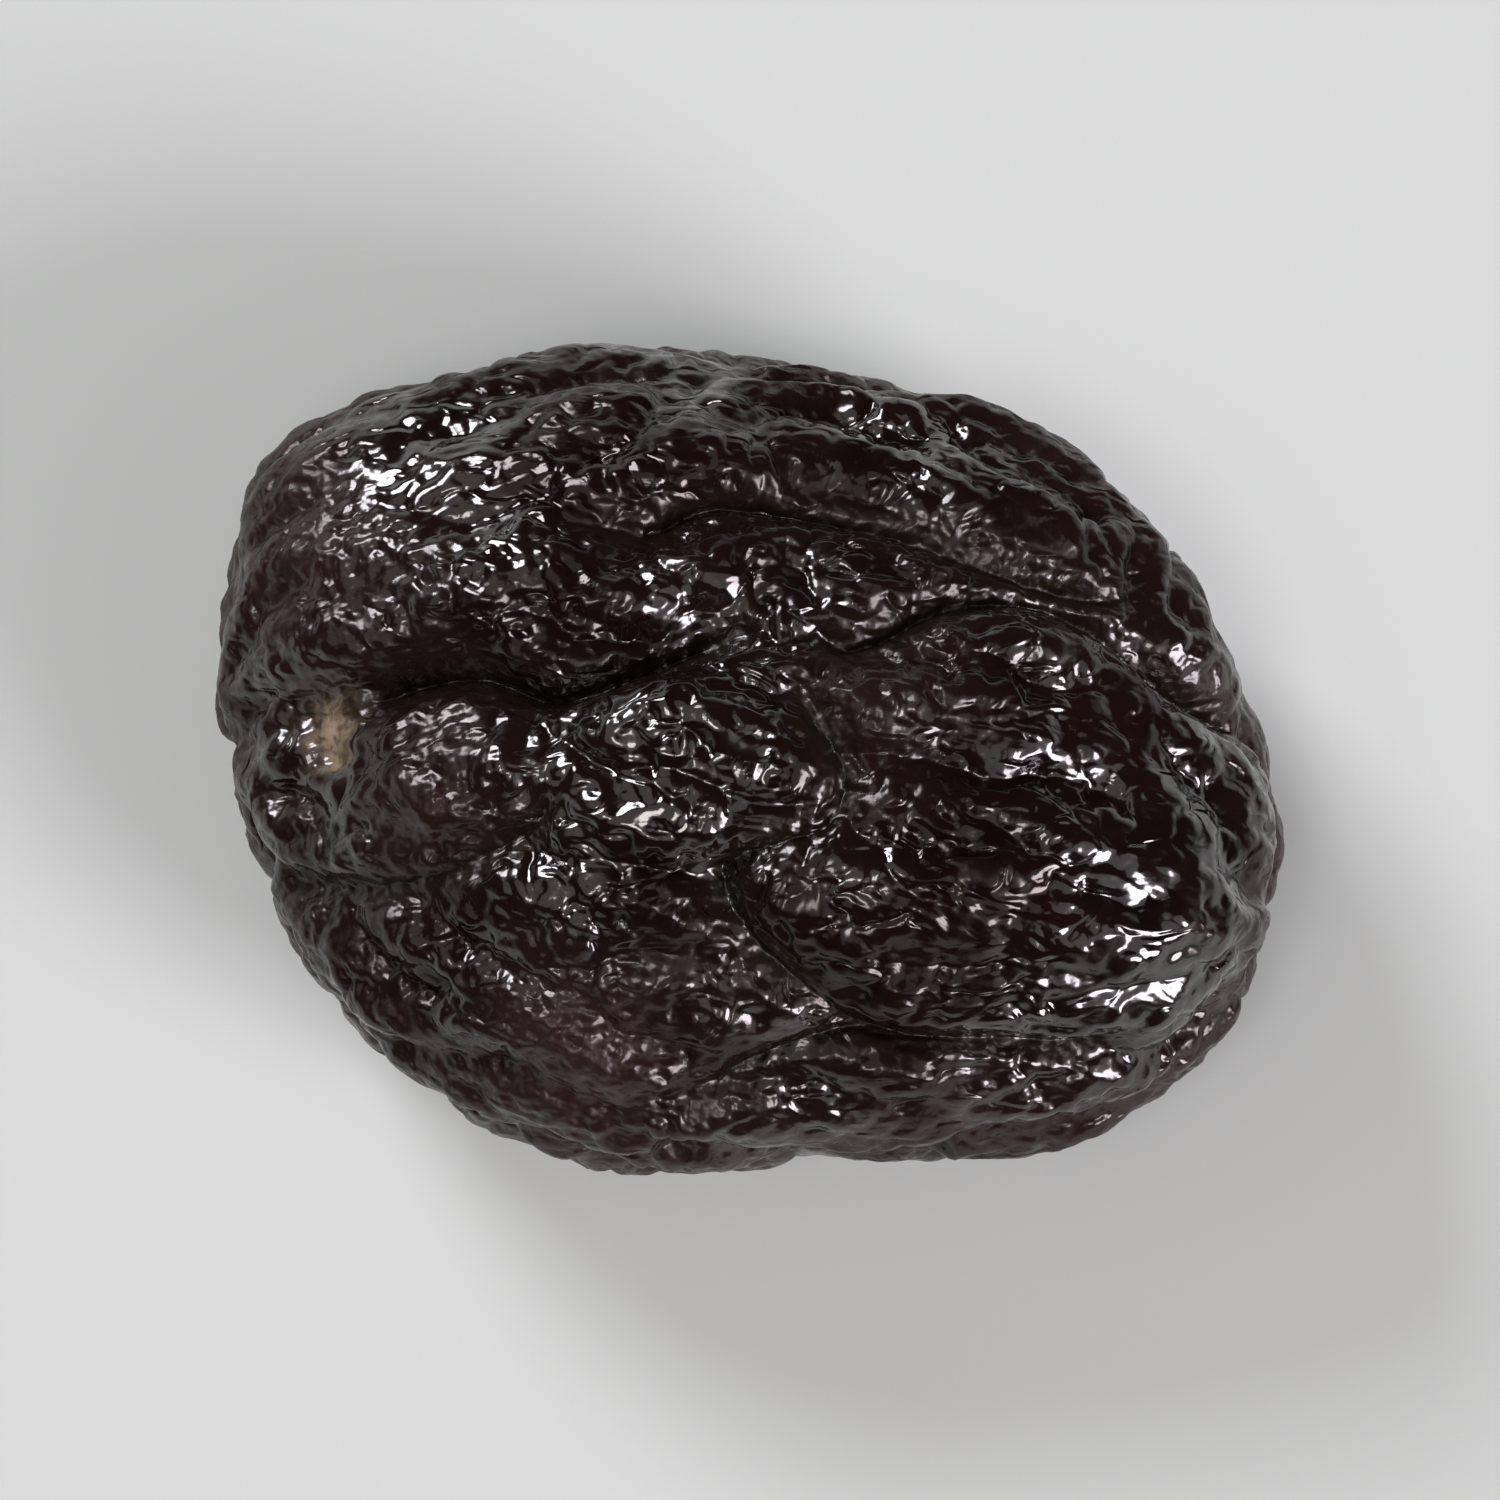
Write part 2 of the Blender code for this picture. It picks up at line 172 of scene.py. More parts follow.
# Folds of the slack skin, side by side from the stem end to the blossom end: how far apart and how deep they
# are, the reach and the sway of the patches of waves that make them up, and the seed of those
Folds = namedtuple("Folds", "spacing depth reach sway seed")
BROAD_FOLDS = Folds(3.9 * MM, 0.95 * MM, 3.0 * MM, 0.38, 11)
NARROW_FOLDS = Folds(2.2 * MM, 0.50 * MM, 1.6 * MM, 0.55, 23)
FINE_FOLDS = Folds(1.10 * MM, 0.26 * MM, 0.70 * MM, 1.2, 37)

# Mean height of the folds, from 0 in their valleys to 1 on their crests
MEAN_CREST = 0.64

# How much of the mark left for the crests comes from the broad folds, and the rest from the narrow ones
BROAD_SHARE = 0.6

# The patches of waves that make up the folds: the skin they cover, the steps between them and where they end,
# as shares of their reach, how much the spacing of their waves differs, and how softly the folds fork
SKIN_AREA = 0.76 * math.pi * LENGTH * WIDTH
PATCH_STEP = 0.5
PATCH_LIMIT = 3.0
SPACING_SPREAD = 0.12
FORK_SOFTNESS = 0.35

# How slack the skin is, as a share of the folds' depth: slacker on the sides, and slacker or tighter in
# places on top
SLACK_SKIN = Unevenness(1.0, 0.4, 7.0 * MM, (8.8, 2.2, 5.1))
LEAST_SLACK = 0.25
SIDE_SLACK = 0.5
SIDE_SLACK_REACH = 4.0 * MM
SLACK_SPOTS = (
    Lump(0.38, 0.62, 7.5 * MM, 0.30),
    Lump(-0.10, 0.15, 6.0 * MM, 0.15),
    Lump(0.40, -0.38, 7.0 * MM, -0.50),
    Lump(-0.30, -0.60, 4.5 * MM, -0.30),
    Lump(-0.66, 0.50, 6.0 * MM, -0.45),
)
NARROW_PATCHES = Unevenness(0.55, 0.9, 5.0 * MM, (1.3, 7.2, 4.4))
NARROW_RANGE = (0.08, 1.2)

# The finest folds have flatter crests, come in patches, and ease in creases, on the stem scar and under thick
# syrup
FINE_FLATNESS = 1.7
FINE_PATCHES = Unevenness(0.9, 0.6, 3.0 * MM, (6.1, 3.9, 0.8))
FINE_RANGE = (0.45, 1.3)
FINE_EASE_IN_CREASE = 0.6
FINE_EASE_ON_SCAR = 0.7
FINE_EASE_IN_SYRUP = 0.2

# Grain of the skin between the folds
GRAIN_SPACING = 0.62 * MM
GRAIN_SHIFT = (5.5, 1.5, 0.2)
MEAN_GRAIN = 0.22

# The scar that the stalk left: its place in plan, its size, its ragged edge, and its dent
STEM_SCAR = (-0.81, -0.01)
SCAR_RADIUS = 1.0 * MM
SCAR_EDGE = Unevenness(1.0, 0.6, 0.8 * MM, (4.7, 1.3, 6.1))
SCAR_STEEPNESS = 6
SCAR_DENT = 0.35 * MM

# Where the skin is drier and duller: in spots, in uneven patches, in the creases, and on the sides, up to
# about this far from the widest level
DRY_SPOTS = (
    Lump(-0.78, 0.52, 5.0 * MM, 0.9),
    Lump(-0.33, -0.80, 4.2 * MM, 1.0),
    Lump(-0.60, -0.16, 3.2 * MM, 0.6),
    Lump(0.23, 0.06, 3.4 * MM, 0.6),
)
DRY_PATCHES = Unevenness(0.0, 0.25, 4.0 * MM, (2.9, 8.1, 6.6))
CREASE_DRYNESS = 0.5
SIDE_DRYNESS = 0.75
SIDE_REACH = 5.0 * MM

# Where the syrup film is thickest and rounds off the finest wrinkles
WET_SPOTS = (
    Lump(0.74, -0.45, 4.5 * MM, 0.9),
    Lump(-0.10, -0.06, 3.2 * MM, 0.9),
    Lump(-0.62, 0.70, 3.0 * MM, 0.8),
    Lump(-0.22, -0.26, 2.4 * MM, 0.6),
)

# The underside, pressed softly below this level and then cut flat
SOFT_FLOOR = 0.86 * BELLY
SOFT_DEPTH = 1.1 * MM
FLAT_DEPTH = 0.12 * MM

# Spacings of the patterns in the skin's material: flesh that shows through, corky fibres of the stem scar,
# thinner spots of the syrup film, wetter areas, and the finest grain
FLESH_SPACING = 5.5 * MM
FIBRE_SPACING = 0.4 * MM
FILM_SPACING = 1.7 * MM
WET_SPACING = 4.5 * MM
FINEST_SPACING = 0.45 * MM

# How much rougher the dry skin and the scar are than the syrup film, and how much wetter the wet spots are
DRY_ROUGHENING = 0.16
SCAR_ROUGHENING = 0.35
SPOT_WETNESS = 0.2

# The short wrinkles: how they are drawn out along the fruit, how wide their valleys are, and how far they
# ease on dry skin and in the wet spots
CRINKLE_STRETCH = (0.62, 1.0, 1.0)
CRINKLE_VALLEY = 0.14
CRINKLE_EASE_DRY = 0.35
CRINKLE_EASE_WET = 0.4

# The finest grain everywhere, and what dryness adds to it, as shares of the short wrinkles' height
GRAIN_SHARE = 0.4
DRY_GRAIN_SHARE = 2.0

# Lamps, at one distance from the floor's middle: how far from straight up and in which direction they hang,
# how wide they look from there, all in degrees, how strong they are, and their colour
Lamp = namedtuple("Lamp", "name tilt bearing width flux colour")
LAMPS = (
    Lamp("right_box", 60, -35, 24, 2.9, "#FAF5FF"),
    Lamp("left_box", 54, 130, 22, 2.6, "#F7F7FF"),
    Lamp("ceiling", 20, 200, 58, 0.55, "#FFFCF9"),
    Lamp("near_lamp", 18, 235, 15, 0.6, "#FFFDFD"),
    Lamp("right_fill", 42, -35, 46, 0.4, "#FDFAFF"),
)
LAMP_DISTANCE = 0.7
HORIZON_COLOUR = "#959595"
SKY_COLOUR = "#272729"


def linear(colour):
    """Linear RGBA of an sRGB hex colour."""
    parts = [int(colour[k:k + 2], 16) / 255 for k in (1, 3, 5)]
    return tuple(p / 12.92 if p <= 0.04045 else ((p + 0.055) / 1.055) ** 2.4 for p in parts) + (1.0,)


def ball(segments):
    """Unit directions and quads of a ball made from a divided cube, with smaller quads towards its top."""
    grid = bmesh.new()
    bmesh.ops.create_cube(grid, size=2.0)
    bmesh.ops.subdivide_edges(grid, edges=grid.edges[:], cuts=segments - 1, use_grid_fill=True)
    points = np.array([corner.co for corner in grid.verts])
    quads = np.array([[corner.index for corner in face.verts] for face in grid.faces])
    grid.free()
    points = np.tan(points * math.pi / 4)
    points /= np.linalg.norm(points, axis=1)[:, None]
    shrink = 1 + DRAWN_UP * points[:, 2:]
    level = points[:, :2] * math.sqrt(1 - DRAWN_UP ** 2) / shrink
    rise = (points[:, 2:] + DRAWN_UP) / shrink
    return np.hstack((level, rise)), quads


def plan_radius(turn):
    """Reach of the outline from the middle, seen from above, with the corners of OUTLINE rounded."""
    corners = np.array(OUTLINE) * (LENGTH / 2, WIDTH / 2)
    corner_turn = np.arctan2(corners[:, 1], corners[:, 0])
    corner_reach = np.hypot(corners[:, 0], corners[:, 1])
    total = 0.0
    weights = 0.0
    for step in CORNER_STEPS:
        weight = math.exp(-step * step / 2)
        total = total + weight * np.interp(
            turn + step * CORNER_TURN, corner_turn, corner_reach, period=2 * math.pi)
        weights += weight
    return total / weights


def plump(directions):
    """Points of the smooth, full fruit in the given directions from its middle."""
    x, y, z = directions.T
    level = np.hypot(x, y) / plan_radius(np.arctan2(y, x))
    rise = np.abs(z) / np.where(z > 0, CROWN, BELLY)
    reach = (level ** FULLNESS + rise ** FULLNESS) ** (-1 / FULLNESS)
    return directions * reach[:, None]


def plump_point(u, v, side):
    """The point of the plump fruit above or below a place in plan."""
    x = u * LENGTH / 2
    y = v * WIDTH / 2
    share = min(np.hypot(x, y) / plan_radius(np.arctan2(y, x)), RIM)
    tall = CROWN if side > 0 else BELLY
    return np.array((x, y, side * tall * (1 - share ** FULLNESS) ** (1 / FULLNESS)))


def normals_of(points, quads):
    """Outward unit normals at the points."""
    a, b, c, d = (points[quads[:, k]] for k in range(4))
    face = np.cross(c - a, d - b)
    total = np.zeros_like(points)
    for k in range(4):
        np.add.at(total, quads[:, k], face)
    return total / np.linalg.norm(total, axis=1)[:, None]


def noise_at(points, spacing, shift):
    """Smooth noise from about -1 to 1 at the points."""
    scaled = points / spacing + np.array(shift)
    return np.array([noise.noise(Vector(place)) for place in scaled])


def uneven(places, unevenness):
    """Value of something that varies over the skin, at each place."""
    return unevenness.mean + unevenness.change * noise_at(places, unevenness.spacing, unevenness.shift)


def spots_at(places, spots):
    """Sum of soft, round spots on top of the fruit, at each place."""
    total = np.zeros(len(places))
    for spot in spots:
        away = np.linalg.norm(places - plump_point(spot.u, spot.v, 1), axis=1)
        total += spot.height * np.exp(-(away / spot.radius) ** 2)
    return total


def smooth_course(points):
    """Evenly spread points along a smooth curve through the given ones."""
    points = np.array(points)
    padded = np.vstack((2 * points[0] - points[1], points, 2 * points[-1] - points[-2]))
    curve = []
    for a, b, c, d in zip(padded, padded[1:], padded[2:], padded[3:]):
        for t in np.linspace(0, 1, COURSE_STEPS, endpoint=False):
            rise = (c - a) * t + (2 * a - 5 * b + 4 * c - d) * t * t + (3 * b - a - 3 * c + d) * t ** 3
            curve.append(b + rise / 2)
    curve.append(points[-1])
    curve = np.array(curve)
    steps = np.linalg.norm(np.diff(curve, axis=0), axis=1)
    run = np.concatenate(([0], np.cumsum(steps)))
    even = np.linspace(0, run[-1], COURSE_POINTS)
    return np.stack([np.interp(even, run, curve[:, k]) for k in range(3)], axis=1)


def near_course(places, crease):
    """Distance to a crease, share of the way along it, and its nearest point, for each place."""
    course = smooth_course([plump_point(u, v, crease.side) for u, v in crease.course])
    gap = np.full(len(places), np.inf)
    along = np.zeros(len(places))
    nearest = np.zeros_like(places)
    for k, (start, end) in enumerate(zip(course, course[1:])):
        step = end - start
        share = np.clip((places - start) @ step / (step @ step), 0, 1)
        foot = start + share[:, None] * step
        away = np.linalg.norm(places - foot, axis=1)
        closer = away < gap
        gap[closer] = away[closer]
        along[closer] = (k + share[closer]) / (len(course) - 1)
        nearest[closer] = foot[closer]
    return gap, along, nearest


def end_to_end(places):
    """Unit direction of the folds, which leave the stem end and gather at the blossom end."""
    half = np.array((LENGTH / 2, WIDTH / 2, HEIGHT / 2))
    from_stem = places - np.array((*STEM_END, 0)) * half
    from_blossom = places - np.array((*BLOSSOM_END, 0)) * half
    run = from_stem / np.sum(from_stem ** 2, axis=1)[:, None]
    run -= from_blossom / np.sum(from_blossom ** 2, axis=1)[:, None]
    return run / np.linalg.norm(run, axis=1)[:, None]


def spread_directions(count):
    """Directions spread evenly over a ball, on a spiral from its top to its bottom."""
    k = np.arange(count) + 0.5
    z = 1 - 2 * k / count
    turn = math.pi * (1 + 5 ** 0.5) * k
    level = np.sqrt(1 - z * z)
    return np.stack((level * np.cos(turn), level * np.sin(turn), z), axis=1)


def fold_height(places, folds):
    """Height of the folds from 0 in their narrow valleys to 1 on their round crests.

    Small patches of waves are summed. Each crosses the run of the folds, give or take its sway, so that the
    folds wander, fork and end as the wrinkles of a dried skin do.
    """
    rng = np.random.default_rng(folds.seed)
    half = np.array((LENGTH / 2, WIDTH / 2, HEIGHT / 2))
    count = int(SKIN_AREA / (PATCH_STEP * folds.reach) ** 2)
    centres = plump(spread_directions(count))
    up = centres / half ** 2
    up /= np.linalg.norm(up, axis=1)[:, None]
    across = np.cross(up, end_to_end(centres))
    across /= np.linalg.norm(across, axis=1)[:, None]
    run = np.cross(across, up)
    turn = rng.normal(0, folds.sway, count)[:, None]
    spacing = folds.spacing * np.exp(rng.normal(0, SPACING_SPREAD, count))[:, None]
    wave = (across * np.cos(turn) + run * np.sin(turn)) * 2 * math.pi / spacing
    phase = rng.uniform(0, 2 * math.pi, count)
    limit = PATCH_LIMIT * folds.reach
    order = np.argsort(places[:, 0])
    ordered = places[order]
    first = np.searchsorted(ordered[:, 0], centres[:, 0] - limit)
    last = np.searchsorted(ordered[:, 0], centres[:, 0] + limit)
    total = np.zeros(len(places), complex)
    for k in range(count):
        near = ordered[first[k]:last[k]] - centres[k]
        away = np.sum(near ** 2, axis=1)
        inside = away < limit ** 2
        patch = np.exp(-away[inside] / (2 * folds.reach ** 2))
        total[order[first[k]:last[k]][inside]] += patch * np.exp(1j * (near[inside] @ wave[k] + phase[k]))
    strength = np.abs(total)
    strength /= strength + FORK_SOFTNESS * np.median(strength)
    return np.abs(np.cos(np.angle(total) / 2)) * strength + (1 - strength) * MEAN_CREST


def add_lumps(points, quads, places):
    """Raises the broad lumps and the uneven swelling of the flesh, and returns the new normals."""
    lift = uneven(places, SWELLING) + spots_at(places, LUMPS)
    points += normals_of(points, quads) * lift[:, None]
    return normals_of(points, quads)


def add_crease(points, normals, places, crease, met):
    """Draws the skin in towards the crease, sinks its valley and rolls the skin beside it.

    A crease on top bites too, but not where it has met an earlier one. Returns how near each point is to the
    crease, from 0 away from it to 1 in its valley.
    """
    gap, along, nearest = near_course(places, crease)
    ends = np.clip(np.minimum(along, 1 - along) / CREASE_END, 0, 1)
    ends = ends * ends * (3 - 2 * ends)
    widths = gap / crease.width
    pull = PINCH * np.exp(-(widths / PINCH_REACH) ** 2)
    if crease.side > 0:
        pull += BITE * (1 - met) * np.exp(-(widths / BITE_REACH) ** 2)
    points += (nearest - places) * (ends * pull)[:, None]
    valley = np.exp(VALLEY_ROUNDING - np.hypot(widths, VALLEY_ROUNDING))
    lip = np.exp(-((widths - LIP_PLACE) / LIP_SPREAD) ** 2)
    points += normals * (ends * (crease.lip * lip - crease.depth * valley))[:, None]
    return ends * np.exp(-(widths / LIP_SPREAD) ** 2)


def slackness(places):
    """How slack the skin is at each place, around 1."""
    slack = uneven(places, SLACK_SKIN) + spots_at(places, SLACK_SPOTS)
    slack += SIDE_SLACK * np.exp(-(places[:, 2] / SIDE_SLACK_REACH) ** 2)
    return np.maximum(slack, LEAST_SLACK)


def add_folds(points, normals, places, folds, strength, flatness=1.0):
    """Folds the skin, by a strength given for each point. Returns the folds' height from 0 to 1."""
    crest = 1 - (1 - fold_height(places, folds)) ** flatness
    points += normals * (folds.depth * strength * (crest - MEAN_CREST))[:, None]
    return crest


def flatten_below(points):
    """Presses the underside softly towards the level that the fruit lies on."""
    depth = np.maximum(SOFT_DEPTH - SOFT_FLOOR - points[:, 2], 0)
    pressed = SOFT_DEPTH - SOFT_FLOOR - SOFT_DEPTH * (1 - np.exp(-depth / SOFT_DEPTH))
    points[:, 2] = np.where(depth > 0, pressed, points[:, 2])


def fit_and_seat(points):
    """Fits the fruit to its overall size and cuts its flat spot, at the level of the origin."""
    points[:, 2] = np.maximum(points[:, 2], points[:, 2].min() + FLAT_DEPTH)
    low = points.min(axis=0)
    high = points.max(axis=0)
    points -= (low + high) / 2
    points *= np.array((LENGTH, WIDTH, HEIGHT)) / (high - low)
    points[:, 2] += HEIGHT / 2


def fold_skin(points, quads, places):
    """Gives the plump fruit its lumps, its creases, and its broad and narrow folds.

    Returns how near each point is to a crease, and how high it stands on the folds, both from 0 to 1.
    """
    normals = add_lumps(points, quads, places)
    slack = slackness(places)
    crease = np.zeros(len(points))
    for course in CREASES:
        nearness = add_crease(points, normals, places, course, crease)
        crease = np.maximum(crease, nearness)
        slack *= 1 - EASE_IN_CREASE * nearness
    broad = add_folds(points, normals, places, BROAD_FOLDS, slack)
    patchy = np.clip(uneven(places, NARROW_PATCHES), *NARROW_RANGE)
    narrow = add_folds(points, normals, places, NARROW_FOLDS, slack * patchy)
    return crease, BROAD_SHARE * broad + (1 - BROAD_SHARE) * narrow


def roughen_skin(points, quads, places, marks, settings):
    """Adds the finest folds, the grain between them and the dent of the stem scar."""
    smooth = 1 - FINE_EASE_IN_CREASE * marks["crease"]
    strength = np.clip(uneven(places, FINE_PATCHES), *FINE_RANGE) * smooth * settings.fine_share
    strength *= (1 - FINE_EASE_ON_SCAR * marks["scar"]) * (1 - FINE_EASE_IN_SYRUP * marks["wet"])
    add_folds(points, normals_of(points, quads), places, FINE_FOLDS, strength, FINE_FLATNESS)
    grain = np.abs(noise_at(places, GRAIN_SPACING, GRAIN_SHIFT)) - MEAN_GRAIN
    lift = settings.grain_height * grain * smooth - SCAR_DENT * marks["scar"]
    points += normals_of(points, quads) * lift[:, None]


def scar_at(places):
    """How much of each place the stem scar takes, from 0 to 1."""
    away = np.linalg.norm(places - plump_point(*STEM_SCAR, 1), axis=1) / SCAR_RADIUS
    return 1 / (1 + (away * uneven(places, SCAR_EDGE)) ** SCAR_STEEPNESS)


def dryness(places, crease, wet):
    """How dry the skin is at each place, from 0 to 1."""
    dry = spots_at(places, DRY_SPOTS) + uneven(places, DRY_PATCHES)
    dry += SIDE_DRYNESS * np.exp(-(places[:, 2] / SIDE_REACH) ** 2)
    return np.clip(dry + CREASE_DRYNESS * crease - wet, 0, 1)


def prune_form(settings):
    """Points and quads of the whole fruit, and what its skin is like at each point."""
    directions, quads = ball(settings.segments)
    places = plump(directions)
    points = places.copy()
    crease, crest = fold_skin(points, quads, places)
    wet = np.clip(spots_at(places, WET_SPOTS), 0, 1)
    marks = {
        "crease": crease,
        "crest": crest,
        "wet": wet,
        "dry": dryness(places, crease, wet),
        "scar": scar_at(places),
    }
    roughen_skin(points, quads, places, marks, settings)
    flatten_below(points)
    fit_and_seat(points)
    return points, quads, marks


def add_node(tree, kind, values=None, links=None, **settings):
    """Adds a node, sets its properties and unlinked inputs, and links its other inputs to outputs."""
    node = tree.nodes.new(kind)
    for name, value in settings.items():
        setattr(node, name, value)
    for key, value in (values or {}).items():
        node.inputs[key].default_value = value
    for key, output in (links or {}).items():
        tree.links.new(output, node.inputs[key])
    return node


def skin_colour(tree, place, marks, settings):
    """Brown flesh shows in patches, paler where it is dry, with a paler colour on the crests that is partly
    wear and partly a painted highlight, and a darker olive in the creases that is painted shade.
    """
    patches = add_node(
        tree, "ShaderNodeTexNoise", {"Scale": 1 / FLESH_SPACING, "Detail": 3.0, "Roughness": 0.55},
        {"Vector": place})
    patch_share = add_node(
        tree, "ShaderNodeMapRange", {"From Min": 0.38, "From Max": 0.66}, {"Value": patches.outputs["Fac"]})
    ground = add_node(
        tree, "ShaderNodeMix", {"A": settings.dark_colour, "B": settings.flesh_colour},
        {"Factor": patch_share.outputs["Result"]}, data_type="RGBA")
    # The tops of the folds are mixed towards a paler colour: partly wear, partly a painted highlight
    crest_wear_and_highlight = add_node(
        tree, "ShaderNodeMapRange", {"From Min": 0.35, "From Max": 0.95, "To Max": 0.5},
        {"Value": marks["crest"]})
    lit = add_node(
        tree, "ShaderNodeMix", {"B": settings.crest_wear_and_highlight_colour},
        {"Factor": crest_wear_and_highlight.outputs["Result"], "A": ground.outputs["Result"]}, data_type="RGBA")
    dulled = add_node(
        tree, "ShaderNodeMix", {"B": settings.dry_colour},
        {"Factor": marks["dry"], "A": lit.outputs["Result"]}, data_type="RGBA")
    # Darker olive deep in the creases: painted shade
    deep = add_node(
        tree, "ShaderNodeMix", {"B": settings.crease_shade_colour},
        {"Factor": marks["crease"], "A": dulled.outputs["Result"]}, data_type="RGBA")
    fibres = add_node(
        tree, "ShaderNodeTexNoise", {"Scale": 1 / FIBRE_SPACING, "Detail": 2.0}, {"Vector": place})
    fibre_share = add_node(
        tree, "ShaderNodeMapRange", {"From Min": 0.35, "From Max": 0.52, "To Min": 0.3},
        {"Value": fibres.outputs["Fac"]})
    scar_share = add_node(
        tree, "ShaderNodeMath", {}, {0: marks["scar"], 1: fibre_share.outputs["Result"]},
        operation="MULTIPLY")
    corky = add_node(
        tree, "ShaderNodeMix", {"B": settings.scar_colour},
        {"Factor": scar_share.outputs["Value"], "A": deep.outputs["Result"]}, data_type="RGBA")
    return corky.outputs["Result"]


def skin_roughness(tree, place, marks):
    """The syrup film is smoother in some spots than in others, dull where it is dry, and gone on the scar."""
    film = add_node(
        tree, "ShaderNodeTexNoise", {"Scale": 1 / FILM_SPACING, "Detail": 4.0, "Roughness": 0.6},
        {"Vector": place})
    film_share = add_node(
        tree, "ShaderNodeMapRange", {"From Min": 0.4, "From Max": 0.62, "To Min": 0.12, "To Max": 0.25},
        {"Value": film.outputs["Fac"]})
    dulled = add_node(
        tree, "ShaderNodeMath", {1: DRY_ROUGHENING}, {0: marks["dry"], 2: film_share.outputs["Result"]},
        operation="MULTIPLY_ADD")
    corky = add_node(
        tree, "ShaderNodeMath", {1: SCAR_ROUGHENING}, {0: marks["scar"], 2: dulled.outputs["Value"]},
        operation="MULTIPLY_ADD")
    return corky.outputs["Value"]


def syrup_weight(tree, place, marks):
    """How much syrup lies on the skin: whole areas are wet, and the dry patches have none."""
    areas = add_node(
        tree, "ShaderNodeTexNoise", {"Scale": 1 / WET_SPACING, "Detail": 1.0}, {"Vector": place})
    wetter = add_node(
        tree, "ShaderNodeMath", {1: SPOT_WETNESS}, {0: marks["wet"], 2: areas.outputs["Fac"]},
        operation="MULTIPLY_ADD")
    wet_share = add_node(
        tree, "ShaderNodeMapRange", {"From Min": 0.44, "From Max": 0.58}, {"Value": wetter.outputs["Value"]})
    syrup = add_node(
        tree, "ShaderNodeMath", {}, {0: wet_share.outputs["Result"], 1: marks["dry"]}, operation="SUBTRACT",
        use_clamp=True)
    return syrup.outputs["Value"]


def skin_relief(tree, place, marks, settings):
    """Short, curling wrinkles, less than 1 mm apart, with sharp valleys, and more grain where it is dry."""
    stretched = add_node(tree, "ShaderNodeMapping", {"Scale": CRINKLE_STRETCH}, {"Vector": place})
    crinkle = add_node(
        tree, "ShaderNodeTexNoise",
        {"Scale": 1 / settings.crinkle_spacing, "Detail": 1.3, "Roughness": 0.5, "Distortion": 0.35},
        {"Vector": stretched.outputs["Vector"]})
    centred = add_node(
        tree, "ShaderNodeMath", {1: 0.5}, {0: crinkle.outputs["Fac"]}, operation="SUBTRACT")
    valleys = add_node(tree, "ShaderNodeMath", {}, {0: centred.outputs["Value"]}, operation="ABSOLUTE")
    crests = add_node(
        tree, "ShaderNodeMapRange", {"From Max": CRINKLE_VALLEY}, {"Value": valleys.outputs["Value"]},
        interpolation_type="SMOOTHSTEP")
    softer = add_node(
        tree, "ShaderNodeMath", {1: -CRINKLE_EASE_DRY, 2: 1.0}, {0: marks["dry"]}, operation="MULTIPLY_ADD")
    eased = add_node(
        tree, "ShaderNodeMath", {1: -CRINKLE_EASE_WET}, {0: marks["wet"], 2: softer.outputs["Value"]},
        operation="MULTIPLY_ADD")
    relief = add_node(
        tree, "ShaderNodeMath", {}, {0: crests.outputs["Result"], 1: eased.outputs["Value"]},
        operation="MULTIPLY")
    grain = add_node(
        tree, "ShaderNodeTexNoise", {"Scale": 1 / FINEST_SPACING, "Detail": 0.5}, {"Vector": place})
    grain_share = add_node(
        tree, "ShaderNodeMath", {1: DRY_GRAIN_SHARE, 2: GRAIN_SHARE}, {0: marks["dry"]},
        operation="MULTIPLY_ADD")
    grained = add_node(
        tree, "ShaderNodeMath", {},
        {0: grain.outputs["Fac"], 1: grain_share.outputs["Value"], 2: relief.outputs["Value"]},
        operation="MULTIPLY_ADD")
    bump = add_node(
        tree, "ShaderNodeBump", {"Strength": 1.0, "Distance": settings.crinkle_height},
        {"Height": grained.outputs["Value"]})
    return bump.outputs["Normal"]


def prune_skin(settings):
    """Skin of a dried plum, plumped again with water: a near-black, tough skin shrunk on soft brown flesh.

    The skin shrank as it dried, so it is wrinkled all over, and a thin film of its own syrup lies on it. That
    gives the eye many small, sharp glints on a dark brown ground, duller where the film has dried.
    """
    material = bpy.data.materials.new("dried_plum_skin")
    material.use_nodes = True
    tree = material.node_tree
    shader = tree.nodes["Principled BSDF"]
    place = add_node(tree, "ShaderNodeTexCoord").outputs["Object"]
    marks = {
        name: add_node(tree, "ShaderNodeAttribute", attribute_name=name).outputs["Fac"]
        for name in ("crease", "crest", "wet", "dry", "scar")
    }
    normal = skin_relief(tree, place, marks, settings)
    tree.links.new(skin_colour(tree, place, marks, settings), shader.inputs["Base Color"])
    tree.links.new(skin_roughness(tree, place, marks), shader.inputs["Roughness"])
    tree.links.new(syrup_weight(tree, place, marks), shader.inputs["Coat Weight"])
    tree.links.new(normal, shader.inputs["Normal"])
    tree.links.new(normal, shader.inputs["Coat Normal"])

    # Moist skin bends light a little more than water does, and thick syrup more again. The skin's own sheen
    # is faintly warm.
    shader.inputs["IOR"].default_value = 1.42
    shader.inputs["Coat IOR"].default_value = 1.5
    shader.inputs["Coat Roughness"].default_value = 0.11
    shader.inputs["Specular Tint"].default_value = linear("#FFF3EE")
    return material


